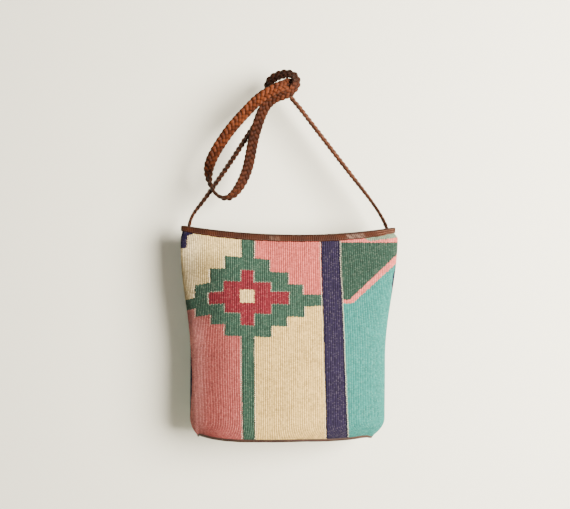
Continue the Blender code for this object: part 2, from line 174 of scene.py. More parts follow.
class Value:
    """One output of a shader node. Arithmetic on it adds Math nodes."""

    def __init__(self, finish, socket):
        self.finish = finish
        self.socket = socket

    __add__ = __radd__ = operation("ADD")
    __sub__ = operation("SUBTRACT")
    __mul__ = operation("MULTIPLY")
    __truediv__ = operation("DIVIDE")
    __pow__ = operation("POWER")
    __gt__ = operation("GREATER_THAN")
    __lt__ = operation("LESS_THAN")
    __abs__ = operation("ABSOLUTE")
    least = operation("MINIMUM")
    most = operation("MAXIMUM")
    whole = operation("FLOOR")
    part = operation("FRACT")

    def __rsub__(self, other):
        return self.finish.node("ShaderNodeMath", {"operation": "SUBTRACT"}, (other, self))

    def wave(self):
        """1 at each whole number and 0 half way between."""
        return abs(self.part() * 2 - 1)

    def rise(self, start, end):
        """0 before start, 1 after end and smooth between."""
        values = {"Value": self, "From Min": start, "From Max": end}
        return self.finish.node("ShaderNodeMapRange", {"interpolation_type": "SMOOTHSTEP"}, values)


class Finish:
    """A material on one Principled shader, with its constants set on the shader's own sockets."""

    def __init__(self, name, constants):
        self.material = bpy.data.materials.new(name)
        self.material.use_nodes = True
        self.tree = self.material.node_tree
        self.shader = self.tree.nodes["Principled BSDF"]
        for socket, value in constants.items():
            self.shader.inputs[socket].default_value = value

    def node(self, kind, settings=None, values=(), output=0):
        """A node of one type: its settings first, then the values or links of its sockets."""
        made = self.tree.nodes.new(kind)
        for name, setting in (settings or {}).items():
            setattr(made, name, setting)
        pairs = values.items() if isinstance(values, dict) else enumerate(values)
        for socket, value in pairs:
            self.feed(made.inputs[socket], value)
        return Value(self, made.outputs[output])

    def feed(self, socket, value):
        if isinstance(value, Value):
            self.tree.links.new(value.socket, socket)
        else:
            socket.default_value = value

    def set(self, socket, value):
        self.feed(self.shader.inputs[socket], value)

    def split(self, vector):
        """The three numbers in a vector or colour."""
        made = self.node("ShaderNodeSeparateXYZ", None, (vector,)).socket.node
        return [Value(self, output) for output in made.outputs]

    def map(self, name):
        """The two numbers of a UV map, which are kept there in hundreds."""
        across, up, _ = self.split(self.node("ShaderNodeUVMap", {"uv_map": name}))
        return across * 100, up * 100

    def place(self, x=0.0, y=0.0, z=0.0):
        return self.node("ShaderNodeCombineXYZ", None, (x, y, z))

    def object_place(self):
        return self.node("ShaderNodeTexCoord", None, (), "Object")

    def noise(self, vector, scale, detail=2.0, rough=0.5):
        """Soft noise, mostly between 0.3 and 0.7."""
        values = {"Vector": vector, "Scale": scale, "Detail": detail, "Roughness": rough}
        return self.node("ShaderNodeTexNoise", None, values)

    def chance(self, number):
        """A fixed random value from 0 to 1 for each whole number."""
        return self.node("ShaderNodeTexWhiteNoise", {"noise_dimensions": "1D"}, {"W": number})

    def mix(self, share, low, high):
        values = {0: share, 6: low, 7: high}
        return self.node("ShaderNodeMix", {"data_type": "RGBA"}, values, 2)

    def layers(self, colour, *layers):
        """A colour with others laid over it in turn, each by its own share."""
        for share, over in layers:
            colour = self.mix(share, colour, over)
        return colour

    def shade(self, colour, factor):
        """A colour times a number."""
        values = {0: colour if isinstance(colour, Value) else colour[:3], "Scale": factor}
        return self.node("ShaderNodeVectorMath", {"operation": "SCALE"}, values)

    def ramp(self, share, stops, steps="LINEAR"):
        made = self.node("ShaderNodeValToRGB", None, (share,))
        ramp = made.socket.node.color_ramp
        ramp.interpolation = steps
        while len(ramp.elements) < len(stops):
            ramp.elements.new(1.0)
        for element, (place, colour) in zip(ramp.elements, stops):
            element.position = place
            element.color = colour
        return made

    def finished(self, colour, roughness, relief, distance, strength):
        """The material, once its colour, roughness and bump are set."""
        self.set("Base Color", colour)
        if roughness:
            self.set("Roughness", roughness)
        values = {"Height": relief, "Distance": distance, "Strength": strength}
        self.set("Normal", self.node("ShaderNodeBump", None, values))
        return self.material


# The figure's chart in millimetres from its middle: each row's top, and its reach left and right
CHART_WIDTH = 300.0  # a reach past both sides of the cloth
CHART_REACH = 70.0  # above and below the figure's middle
GREEN_CHART = (
    (53.8, 31.4, 31.4), (36.4, 51.8, 57.4), (18.3, 72.7, 77.8), (2.2, CHART_WIDTH, CHART_WIDTH),
    (-13.9, 72.2, 79.9), (-27.3, 51.2, 55.9), (-40.5, 31.6, 34.2), (-56.6, 0, 0),
)
RED_CHART = (
    (36.1, 8.4, 9.2), (19.9, 32.5, 33.3), (6.4, 54.0, 58.5), (-10.8, 31.5, 33.9),
    (-23.9, 9.0, 9.8), (-40.5, 0, 0),
)
STEM_FOOT = -56.0  # below this the stem leans a little
DROOP_FROM, DROOP = -31.6, 0.0029  # left of this the figure's arm droops, and how much
TILT_AT = (-90, -60, -25, -14, 3, 20, 37, 56, 66)  # how far the rows slope, at heights
TILT = (0, 0.033, 0.035, 0.01, 0, 0.034, 0.07, 0.095, 0.095)
FIELD_LEVEL = -5.0  # the left and middle fields change colour at this height
FIELD_SIDE = 1.0
BAND_LEFT, BAND_MIDDLE, BAND_RIGHT = 104.8, 118.0, 132.7
FIGURE_END = 100.0

# Where the back panel's dye shows past a side seam: how far forward, middle height, half height
LOW_SLIVER = (0.0125, -0.427, 0.070)
HIGH_SLIVER = (0.0130, -0.284, 0.036)

# Dyes, as the share of red, green and blue light that they give back
CREAM = (0.66, 0.47, 0.19, 1)
# This greyer cream is painted shade for the far left of the front
CREAM_PAINTED_SHADE = (0.56, 0.46, 0.29, 1)
CREAM_LOW = (0.62, 0.41, 0.135, 1)
PINK_TOP = (0.49, 0.098, 0.082, 1)
PINK_LOW = (0.33, 0.075, 0.068, 1)
# This lighter pink is painted light for the far left of the front
PINK_PAINTED_LIGHT = (0.70, 0.35, 0.32, 1)
PINK_STRIPE = (0.58, 0.128, 0.108, 1)
GREEN = (0.0300, 0.069, 0.047, 1)
GREEN_CORNER = (0.021, 0.050, 0.035, 1)
GREEN_PALE = (0.14, 0.19, 0.13, 1)
RED = (0.16, 0.0150, 0.0240, 1)
PURPLE = (0.0165, 0.0110, 0.034, 1)
PURPLE_EDGE = (0.007, 0.004, 0.026, 1)
TURQUOISE = (0.026, 0.186, 0.160, 1)
BARE_WARP = (0.78, 0.68, 0.50, 1)

# Leather, cotton and thread
RIM_DARK = (0.030, 0.0078, 0.0028, 1)
RIM_LIGHT = (0.055, 0.0150, 0.0058, 1)
# Painted shade along the rim's top fold
RIM_FOLD_SHADE = (0.020, 0.008, 0.005, 1)
RIM_HEM = (0.030, 0.011, 0.007, 1)
# Painted highlight on the rim's ribs
RIM_PAINTED_HIGHLIGHT = (0.46, 0.28, 0.19, 1)
RIM_CREASED = (0.26, 0.11, 0.065, 1)
BASE_DARK = (0.028, 0.011, 0.0065, 1)
BASE_LIGHT = (0.050, 0.021, 0.012, 1)
BASE_SCUFFED = (0.13, 0.07, 0.045, 1)
THONG_DARK = (0.075, 0.0165, 0.0048, 1)
THONG_LIGHT = (0.170, 0.0400, 0.0120, 1)
# Painted shade in the gaps between crossing thongs
THONG_GAP_SHADE = (0.020, 0.007, 0.003, 1)
THONG_EDGE = (0.018, 0.008, 0.004, 1)
LINING_COTTON = (0.50, 0.40, 0.26)
BROWN_THREAD = (0.055, 0.022, 0.012)
PALE_THREAD = (0.42, 0.31, 0.18)

# Painted light and shade along the strap: how bright its leather is painted, at shares of its
# length from the left end
STRAP_PAINTED_LIGHT = (
    (0.0, 0.70), (0.15, 0.62), (0.20, 0.45), (0.235, 0.95), (0.252, 0.16), (0.305, 0.14),
    (0.325, 0.50), (0.345, 0.36), (0.37, 0.30), (0.43, 0.25), (0.49, 0.34), (0.52, 0.36),
    (0.555, 0.32), (0.59, 0.62), (0.64, 0.74), (0.69, 0.86), (0.72, 0.40), (0.735, 0.30),
    (0.76, 0.72), (0.86, 0.66), (1.0, 0.55),
)


def chart(cloth, up, rows):
    """How far a stepped figure reaches left and right of its middle, at each height."""
    def share(height):
        return (height + CHART_REACH) / (2 * CHART_REACH)
    stops = [(0.0, (0, 0, 0, 1))]
    for (_, left, right), (foot, _, _) in reversed(list(zip(rows, rows[1:]))):
        stops.append((share(foot), (left / CHART_WIDTH, right / CHART_WIDTH, 0, 1)))
    stops.append((share(rows[0][0]), (0, 0, 0, 1)))
    left, right, _ = cloth.split(cloth.ramp(share(up), stops, "CONSTANT"))
    return left * CHART_WIDTH, right * CHART_WIDTH


def within(cloth, across, up, rows):
    """How deep a place lies in a stepped figure, and where the figure has any width."""
    left, right = chart(cloth, up, rows)
    return (across + left).least(right - across), left > 1.0


def teeth(height):
    return (height / TOOTH).part() < 0.55


def woven(cloth, colour, joins, dark_sides, rib, height):
    """Weaves a colour: ribs, picks, worn crowns, painted shade in the rib valleys, bare warps at
    the joins, and the bump.
    """
    crown = 1 - rib.wave()
    shift = cloth.chance(rib.whole() + 0.37)
    pick = height / PICK
    cell = cloth.chance(rib.whole() * 31.7 + (pick + shift).whole() * 3.13)
    dash = cloth.chance(rib.whole() * 17.3 + (height / 4.6 + shift * 3).whole() * 5.71)
    speck = cloth.noise(cloth.place(rib * 0.9, pick * 0.8), 1.0, 1.0)
    streak = cloth.noise(cloth.place(rib * 0.03, height * 0.16), 1.0, 3.0)
    patch = cloth.noise(cloth.place(rib * 0.045, height * 0.022, 5.0), 1.0, 2.0)
    level = 0.34 + cell * 0.40 + dash * 0.26 + speck * 0.20 + streak * 0.22 + patch * 0.26
    # Painted shade in the valleys between the ribs, lighter on their crowns
    level = level * (0.68 + crown.rise(0.0, 0.7) * 0.40)
    worn = (cell > 0.80) * (crown > 0.35) * 0.030 + 0.004
    shaded = cloth.mix(worn, cloth.shade(colour, level), BARE_WARP)
    bare = joins * (0.10 + teeth(height) * 0.50)
    shaded = cloth.layers(
        shaded, (dark_sides * 0.6, cloth.shade(shaded, 0.35)), (bare, BARE_WARP),
    )
    fibre = cloth.noise(cloth.place(rib * 5.0, height * PICK), 1.0, 2.0)
    relief = crown.rise(0.0, 0.8) * 0.6 + pick.wave() * 0.22 + fibre * 0.35 + cell * 0.3
    return cloth.finished(shaded, 0.86 + speck * 0.12, relief, 0.0008, 0.8)


CLOTH_CONSTANTS = {"Sheen Weight": 0.04, "Sheen Roughness": 0.5, "Specular IOR Level": 0.1}


def side_field(cloth, across, up):
    """The turquoise field at the right, and the pink stripe that climbs over it."""
    stripe_foot = (across - 147.5).most(0.0) * 0.92 - 9.7
    stripe_top = (across - 143.0).most(0.0) * 0.96 - 5.0
    wedge = 77.4 + (171.0 - across).most(0.0) * 0.5 + (across - 171.0).most(0.0) * 0.12
    return cloth.layers(
        TURQUOISE, (up > stripe_foot, PINK_STRIPE), (up > stripe_top, GREEN_CORNER),
        (up > 75.5, PINK_STRIPE), (up > wedge, GREEN_PALE),
    )


def seam_slivers(cloth):
    """Lenses of the back panel's dye, low on the left seam and high on the right one."""
    x, y, z = cloth.split(cloth.object_place())

    def lens(forward, middle, half_height):
        return y + forward - abs((z - middle) / half_height) ** 2 * forward > 0.0
    return (lens(*LOW_SLIVER) * (x < 0.0)).most(lens(*HIGH_SLIVER) * (x > 0.0))


def front_cloth():
    """The front panel's weave, with its stepped medallion and bands."""
    cloth = Finish("kilim_front_weave", CLOTH_CONSTANTS)
    across, up = cloth.map("figure")
    rib, height = cloth.map("weave")
    drift = cloth.noise(cloth.place(across * 0.05, up * 0.05), 1.0, 1.0) - 0.5
    every_other = (rib * 0.5).part() > 0.5
    up = up + (cloth.chance(rib.whole()) - 0.5) * 0.5 + every_other * 0.6 + drift * 2.0
    waver = (cloth.chance((height / PICK).whole()) - 0.5) * 0.9
    across = across + waver + teeth(height) * 0.7 + drift * 1.6

    # Painted shade in a soft dip at the left and over the left side; at its far side the pink is
    # painted lighter, as painted light, and the cream greyer, as painted shade
    painted_hollow_shade = (-14.0 - across).rise(0.0, 56.0) * (66.0 - up).rise(0.0, 30.0)
    painted_hollow_shade = painted_hollow_shade * (up + 60.0).rise(0.0, 40.0)
    far = (-50.0 - across).rise(0.0, 34.0)
    painted_left_shade = (-6.0 - across).rise(0.0, 42.0) * (70.0 - up).rise(0.0, 30.0) * (1 - far)

    right = across > FIELD_SIDE
    # At the far left, painted light lifts the pink and painted shade greys the cream
    below = cloth.mix(right, cloth.mix(far * 0.36, PINK_LOW, PINK_PAINTED_LIGHT), CREAM_LOW)
    above = cloth.mix(right, cloth.mix(far * 0.6, CREAM, CREAM_PAINTED_SHADE), PINK_TOP)
    # Painted shade in the dip at the left darkens the fields here
    field = cloth.shade(cloth.mix(up > FIELD_LEVEL, below, above), 1 - painted_hollow_shade * 0.26)

    # The green figure and its stem, the red figure and the cream cell at the middle
    lower = (STEM_FOOT - up).most(0.0)
    left_reach, right_reach = chart(cloth, up, GREEN_CHART)
    left_reach = left_reach.most(8.3 - lower * 0.0157)
    right_reach = right_reach.most(10.2 + lower * 0.0064)
    green = (across + left_reach).least(right_reach - across)
    red, has_red = within(cloth, across, up, RED_CHART)
    cell = (across + 10.1).least(9.8 - across).least(9.1 - up).least(up + 8.7)

    # The dark band, the field beyond it and the dark upper left corner
    band = (across - BAND_LEFT + up * 0.0288).least(BAND_RIGHT - up * 0.0408 - across)
    band_dye = cloth.mix(band.rise(1.0, 4.5), PURPLE_EDGE, PURPLE)
    corner = (-83.4 - across).least(up - 68.7)
    top_edge = (up - 84.6 - (across + 83.0) * 0.10).least(-62.0 - across)
    field = cloth.layers(
        field, (green > 0.0, GREEN), ((red > 0.0) * has_red, RED), (cell > 0.0, CREAM),
        (across > BAND_MIDDLE, side_field(cloth, across, up)), (band > 0.0, band_dye),
        (corner.most(top_edge) > 0.0, PURPLE_EDGE),
    )

    # Bare warps along the joins
    figure_join = (green < 0.0) * (green > -1.3) * (across < FIGURE_END)
    red_join = (red < 0.0) * (red > -1.2) * has_red * 0.75
    outside_red = red.most(0.0) * has_red < 0.01
    dotted = (rib.wave() < 0.5) * 0.5
    for lift in (1.0, -1.0):
        beside, has_beside = within(cloth, across, up + lift, RED_CHART)
        red_join = red_join.most((beside > 0.0) * has_beside * outside_red * dotted)
    band_join = (band < 0.0) * (band > -1.4)
    joins = figure_join.most(red_join).most(band_join) * (cell < 0.0)

    # Painted shade: darker in the dip at the left and towards the left side
    field = cloth.shade(field, (1 - painted_hollow_shade * 0.32) * (1 - painted_left_shade * 0.22))
    field = cloth.mix(seam_slivers(cloth), field, PURPLE_EDGE)
    figure_side = (green > 0.0) * (green < 2.0) * (across < FIGURE_END)
    band_side = (band > 0.0) * (band < 2.0)
    return woven(cloth, field, joins, figure_side.most(band_side), rib, height)


BACK_EDGES = (-128.0, -70.0, -52.0, 18.0, 36.0, 90.0, 128.0)
BACK_DYES = (PURPLE_EDGE, TURQUOISE, GREEN, CREAM, PURPLE, PINK_LOW, TURQUOISE, PURPLE_EDGE)
BACK_REACH = 200.0


def back_cloth():
    """The back panel's plain upright bands."""
    cloth = Finish("kilim_back_weave", CLOTH_CONSTANTS)
    across, up = cloth.map("figure")
    rib, height = cloth.map("weave")
    drift = cloth.noise(cloth.place(across * 0.05, up * 0.05), 1.0, 1.0) - 0.5
    across = across + (cloth.chance((height / 1.5).whole()) - 0.5) * 1.3 + drift * 1.6
    places = [0.0] + [(edge + BACK_REACH) / (2 * BACK_REACH) for edge in BACK_EDGES]
    share = (across + BACK_REACH) / (2 * BACK_REACH)
    field = cloth.ramp(share, list(zip(places, BACK_DYES)), "CONSTANT")
    nearest = abs(across - BACK_EDGES[0])
    for edge in BACK_EDGES[1:]:
        nearest = nearest.least(abs(across - edge))
    beside_join = (nearest > 0.8) * (nearest < 2.4)
    return woven(cloth, field, nearest < 0.8, beside_join, rib, height)


def lining_cloth():
    """Thin plain cotton, a little creased."""
    cloth = Finish("lining_weave", {"Sheen Weight": 0.1, "Specular IOR Level": 0.2})
    place = cloth.object_place()
    x, y, z = cloth.split(place)
    warp = (x * 900 + y * 300).wave()
    weft = (z * 900).wave()
    patch = cloth.noise(place, 28.0, 3.0)
    # Slight painted shade between the warps
    colour = cloth.shade(LINING_COTTON, 0.74 + patch * 0.4 + warp * 0.06)
    relief = warp * 0.4 + weft * 0.4 + patch
    return cloth.finished(colour, 0.88 + patch * 0.1, relief, 0.0005, 0.6)


def rim_hide():
    """Thin brown leather pressed over the ribs, with painted shade along its fold and in the rib
    valleys, glossy in places with painted highlights on the ribs there.
    """
    hide = Finish("rim_hide", {"Coat Roughness": 0.3, "Specular IOR Level": 0.10})
    rib, up = hide.map("weave")
    place = hide.object_place()
    pore = hide.noise(place, 900.0, 2.0)
    patch = hide.noise(place, 45.0, 3.0)
    crown = 1 - rib.wave()
    slant = hide.noise(hide.place(rib * 0.5 + up * 0.12, up * 0.10), 1.0, 2.0)
    colour = hide.mix(patch.rise(0.35, 0.68), RIM_DARK, RIM_LIGHT)
    # Painted shade in the rib valleys under the leather
    colour = hide.shade(colour, 0.62 + crown.rise(0.0, 0.7) * 0.42 + slant * 0.12)
    # Painted shade along the rolled top fold
    fold = (1.7 - abs(up - 9.2)).rise(0.0, 1.2)
    hem = (1.2 - abs(up)).rise(0.0, 1.0)
    face = (up - 0.8).rise(0.0, 1.0) * (8.2 - up).rise(0.0, 1.0)
    # Glossy places: a real coat there, and pale painted highlights on the rib crowns
    gloss_and_painted_highlight = (3.6 - abs(rib - 54.5)).rise(0.0, 2.0) * 0.5 + (6.0 - abs(rib - 97.0)).rise(0.0, 2.5)
    painted_highlights = gloss_and_painted_highlight * (slant + crown * 0.25).rise(0.50, 0.68) * face
    creases = (1 - (up * 0.28 + patch * 0.7).wave()).rise(0.5, 0.9)
    creases = (6.5 - abs(rib - 114.5)).rise(0.0, 3.0) * creases
    colour = hide.layers(
        colour, (fold * 0.65, RIM_FOLD_SHADE), (hem * 0.4, RIM_HEM), (painted_highlights * 0.24, RIM_PAINTED_HIGHLIGHT),
        (creases * 0.40, RIM_CREASED),
    )
    hide.set("Coat Weight", gloss_and_painted_highlight.least(1.0) * 0.25)
    relief = crown.rise(0.0, 0.9) * 0.5 + pore * 0.2 + patch * 0.5
    return hide.finished(colour, 0.48 + pore * 0.16 + patch * 0.12, relief, 0.0006, 0.8)


def base_hide(name):
    """Dark, firm leather, scuffed lighter in places."""
    hide = Finish(name, {"Specular IOR Level": 0.4})
    place = hide.object_place()
    cells = {"feature": "DISTANCE_TO_EDGE"}
    grain = hide.node("ShaderNodeTexVoronoi", cells, {"Vector": place, "Scale": 700.0})
    patch = hide.noise(place, 30.0, 4.0)
    scuff = hide.noise(place, 120.0, 3.0).rise(0.6, 0.75)
    colour = hide.mix(patch.rise(0.3, 0.7), BASE_DARK, BASE_LIGHT)
    colour = hide.mix(scuff * 0.4, colour, BASE_SCUFFED)
    relief = grain.rise(0.0, 0.25) * 0.6 + patch
    return hide.finished(colour, 0.5 + patch * 0.2, relief, 0.0004, 0.6)


def strap_hide():
    """Tan leather thongs, with painted light and shade along the strap and painted shade where they
    cross.
    """
    hide = Finish("strap_hide", {"Specular IOR Level": 0.10})
    run, around = hide.map("run")
    thong, rise = hide.map("thong")
    place = hide.object_place()
    pore = hide.noise(place, 800.0, 2.0)
    patch = hide.noise(place, 70.0, 3.0)
    tone = patch * 0.55 + hide.chance(thong.whole() * 7.3) * 0.45
    colour = hide.mix(tone.rise(0.3, 0.7), THONG_DARK, THONG_LIGHT)
    # Painted light and shade along the strap's run: lit stretches brighter, shaded turns darker
    stops = [(share, (level, level, level, 1)) for share, level in STRAP_PAINTED_LIGHT]
    level, _, _ = hide.split(hide.ramp(run / 100, stops))
    colour = hide.shade(colour, level)
    # Painted shade where the thongs pass under each other
    gap = 1 - rise.rise(0.38, 0.82)
    edge = abs(around / 50 - 1).rise(0.6, 1.0)
    colour = hide.layers(colour, (gap * 0.88, THONG_GAP_SHADE), (edge * 0.5, THONG_EDGE))
    return hide.finished(colour, 0.50 + pore * 0.2, pore * 0.5 + patch * 0.4, 0.0003, 0.6)


def sewing_thread(name, colour):
    """Twisted thread."""
    thread = Finish(name, {"Sheen Weight": 0.1, "Roughness": 0.7})
    x, y, z = thread.split(thread.object_place())
    twist = ((x + y + z) * 1800).wave()
    # Painted shade in the twist's grooves
    return thread.finished(thread.shade(colour, 0.72 + twist * 0.4), None, twist, 0.0002, 0.6)


# Shapes


def ease(value, start, end):
    share = np.clip((value - start) / (end - start), 0, 1)
    return share * share * (3 - 2 * share)


def mix(low, high, share):
    return low + (high - low) * share


def run_length(points, power=1.0):
    """The length along a run of points, from 0 at its start."""
    steps = np.linalg.norm(np.diff(points, axis=0), axis=1)
    return np.concatenate(([0], np.cumsum(steps ** power)))


def body_at(height):
    """Centre, half width, half depth and end power of the body's outline at a height."""
    foot = 1 - (1 - np.clip(height / FOOT_HEIGHT, 0, 1)) ** 2
    widen = ease(height, WIDENS_FROM, WIDENS_TO)
    flatten = ease(height, FLATTENS_FROM, BODY_HEIGHT)
    tuck = ease(height, BODY_HEIGHT - TUCK_BELOW, BODY_HEIGHT + TUCK_ABOVE)
    centre = mix(mix(BASE_CENTRE, BELLY_CENTRE, foot), MOUTH_CENTRE, (height / BODY_HEIGHT) ** 2)
    centre = centre - RIM_SHIFT * tuck
    width = mix(mix(BASE_LENGTH, BELLY_WIDTH, foot), MOUTH_WIDTH, widen) - 2 * RIM_TUCK * tuck
    depth = mix(mix(BASE_DEPTH, BELLY_DEPTH, foot), MOUTH_DEPTH, flatten)
    power = mix(mix(BASE_END_POWER, BELLY_END_POWER, foot), MOUTH_END_POWER, flatten)
    return centre, width / 2, depth / 2, power


def mouth_height(x):
    """Height of the mouth's edge, which sags between its two corners."""
    centre, half_width, _, _ = body_at(BODY_HEIGHT)
    left = MOUTH_LOW_POINT - (centre - half_width)
    right = centre + half_width - MOUTH_LOW_POINT
    reach = np.where(x < MOUTH_LOW_POINT, left, right)
    rise = np.where(x < MOUTH_LOW_POINT, LEFT_CORNER_RISE, RIGHT_CORNER_RISE)
    return BODY_HEIGHT + rise * ((x - MOUTH_LOW_POINT) / reach) ** 2


def outline_angles(height, places):
    """Angles round half the outline at shares of its length."""
    _, half_width, half_depth, power = body_at(height)
    angles = np.pi * (1 - (1 - np.cos(np.linspace(0, np.pi, 1601))) / 2)
    x = half_width * np.cos(angles)
    y = half_depth * np.maximum(np.sin(angles), 0) ** (2 * power)
    length = np.concatenate(([0], np.cumsum(np.hypot(np.diff(x), np.diff(y)))))
    even = np.interp(np.asarray(places) * length[-1], length, angles)
    return np.clip(even, 0, np.pi), length[-1]


def wall(places, share, inset, side, drop=0.0, seam=0.0):
    """A row of points on the wall, at shares of its length and one share of its height."""
    angle, _ = outline_angles(share * BODY_HEIGHT, places)
    centre, half_width, _, _ = body_at(share * BODY_HEIGHT)
    height = share * (mouth_height(centre + half_width * np.cos(angle)) - drop)
    centre, half_width, half_depth, power = body_at(height)
    out = np.maximum(np.sin(angle), 0) ** (2 * power)
    x = centre + (half_width - inset) * np.cos(angle)
    y = side * ((half_depth - inset) * out + seam)
    return np.stack([x, y, height - HANG], axis=1)


def bulge(x, y, z):
    """How far the cloth stands out from its plain shape, in soft swells and dents."""
    def swells(rows):
        return sum(
            out * np.exp(-((x - at_x) / wide) ** 2 - ((z - at_z) / tall) ** 2)
            for at_x, at_z, wide, tall, out in rows
        )
    return np.where(y < 0, swells(FRONT_SWELLS), swells(BACK_SWELLS))


def pinch(points):
    """The front's lower edge, drawn up a little by the base and most beside the base's left end."""
    points = np.array(points)
    x, y, z = points.T
    in_front = np.clip((PINCH_BACK - y) / (PINCH_BACK - PINCH_FRONT), 0, 1)
    lift = np.interp(x, *zip(*PINCH)) * in_front
    points[:, 2] += lift * (1 - ease(z + HANG, 0.0, PINCH_HEIGHT))
    return points


def linked(name, data):
    """A new object in the scene."""
    made = bpy.data.objects.new(name, data)
    bpy.context.scene.collection.objects.link(made)
    return made


def mesh_object(name, points, faces, material):
    mesh = bpy.data.meshes.new(name)
    mesh.from_pydata([tuple(map(float, p)) for p in points], [], faces)
    mesh.materials.append(material)
    return linked(name, mesh)


def add_piece(name, points, faces, material, replaced=(), maps=None):
    """A mesh object that rides on the bag's one body. maps holds UVs for each point by map name."""
    made = mesh_object(name, points, faces, material)
    mesh = made.data
    corners = np.zeros(len(mesh.loops), dtype=np.int32)
    mesh.loops.foreach_get("vertex_index", corners)
    for map_name, values in (maps or {}).items():
        layer = mesh.uv_layers.new(name=map_name)
        layer.data.foreach_set("uv", np.asarray(values, dtype=np.float32)[corners].ravel())
    mesh.shade_smooth()
    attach(made, "root")
    if replaced:
        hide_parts(*replaced)
    return made


def grid_faces(rows, count, closed=False, flip=False):
    """Quads between rows of points. closed joins each row's last point to its first."""
    faces = []
    for row in range(rows - 1):
        low, high = row * count, (row + 1) * count
        for place in range(count if closed else count - 1):
            beside = (place + 1) % count
            face = (low + place, low + beside, high + beside, high + place)
            faces.append(face[::-1] if flip else face)
    return faces


def moved(faces, start):
    return [tuple(start + corner for corner in face) for face in faces]


def tube_faces(start, rows, section):
    """The faces of a closed tube whose points begin at start."""
    ends = [tuple(range(section))[::-1], tuple(range((rows - 1) * section, rows * section))]
    return moved(grid_faces(rows, section, closed=True) + ends, start)


def fan(middle, start, count, flip=False):
    """Triangles between one middle point and a closed ring of points."""
    ahead, here = (0, 1) if flip else (1, 0)
    return [
        (middle, start + (i + ahead) % count, start + (i + here) % count) for i in range(count)
    ]


def front_map(points):
    """The woven figure's own millimetres, kept in hundreds, at points of one row of the front."""
    x, y, z = points.T
    reach = -CAMERA[1] / (y - CAMERA[1])
    seen_x = CAMERA[0] + (x - CAMERA[0]) * reach
    seen_z = CAMERA[2] + (z - CAMERA[2]) * reach
    step = np.hypot(np.diff(x), np.diff(y))
    least_step = 0.45 * step  # so that the weave isn't drawn out at the sides
    middle = len(x) // 2
    across = np.concatenate(([0], np.cumsum(np.maximum(np.diff(seen_x), least_step))))
    across = (across - across[middle] + seen_x[middle] - FIGURE_MIDDLE[0]) * 1000
    up = (seen_z - FIGURE_MIDDLE[1]) * 1000
    droop = np.maximum(DROOP_FROM - across, 0) ** 2 * DROOP
    tilt = np.interp(up, TILT_AT, TILT) * (1 - ease(across, 73, 100))
    return np.stack([across, up + droop + tilt * across], axis=1) / 100


def back_map(points):
    """Millimetres across and up on the back panel, kept in hundreds."""
    return np.stack([points[:, 0] * 10, (points[:, 2] + HANG) * 10], axis=1)


def woven_panel(name, solid, side, material):
    """One panel of ribbed cloth, cut off at the two side seams and closed at its edges."""
    drop = LEATHER + CLEAR
    count = RIBS * STEPS + 1
    places = np.linspace(0, 1, count)
    profile = np.append(np.tile(RIB_PROFILE, RIBS), 0.0)
    inner_places = places[::STEPS]
    outer, inner, figure, weave = [], [], [], []
    for share in ROWS:
        bare = wall(places, share, 0.0, side, drop, CLEAR / 2)
        swell = bulge(*bare.T) * ease(share, 0.0, 0.06) * (1 - ease(share, 0.93, 0.97))
        outer.append(wall(places, share, -RIB_HEIGHT * profile - swell, side, drop, CLEAR / 2))
        inner.append(wall(inner_places, share, KILIM - swell[::STEPS], side, drop, CLEAR / 2))
        figure.append(front_map(bare) if side < 0 else back_map(bare))
        weave.append(np.stack([places * RIBS / 100, (bare[:, 2] + HANG) * 10], axis=1))
    outer = pinch(np.concatenate(outer))
    inner = pinch(np.concatenate(inner))
    rows = len(ROWS)
    inner_count = len(inner_places)
    start = len(outer)
    faces = grid_faces(rows, count, flip=side > 0)
    faces += moved(grid_faces(rows, inner_count, flip=side < 0), start)
    for row in range(rows - 1):
        for column, place in ((0, 0), (count - 1, inner_count - 1)):
            below, above = row * count + column, (row + 1) * count + column
            back_below = start + row * inner_count + place
            face = (below, above, back_below + inner_count, back_below)
            faces.append(face if (place == 0) == (side < 0) else face[::-1])
    for row in (0, rows - 1):
        for place in range(inner_count - 1):
            edge = [row * count + place * STEPS + step for step in range(STEPS + 1)]
            back = start + row * inner_count + place
            face = (*edge, back + 1, back)
            faces.append(face[::-1] if (row == 0) == (side < 0) else face)
    inner_index = np.concatenate([row * count + np.arange(0, count, STEPS) for row in range(rows)])
    maps = {}
    for map_name, values in (("figure", figure), ("weave", weave)):
        values = np.concatenate(values)
        maps[map_name] = np.concatenate([values, values[inner_index]])
    return add_piece(name, np.concatenate([outer, inner]), faces, material, [solid], maps)


def ring(count):
    """Shares of the wall's length and sides, all the way round."""
    half = np.linspace(0, 1, count + 1)
    return half, half[1:-1][::-1]


def ring_row(count, share, inset, drop=0.0):
    """One row of points all the way round the body. inset and drop may vary along it."""
    front, back = ring(count)
    inset = np.broadcast_to(inset, 2 * count)
    drop = np.broadcast_to(drop, 2 * count)
    split = len(front)
    return np.concatenate([
        wall(front, share, inset[:split], -1, drop[:split]),
        wall(back, share, inset[split:], 1, drop[split:]),
    ])

LINING_FOOT = 0.0008  # the lining's bottom stands this high
LINING_SHARES = (0.012, 0.03, *np.linspace(0.06, 1, 60))


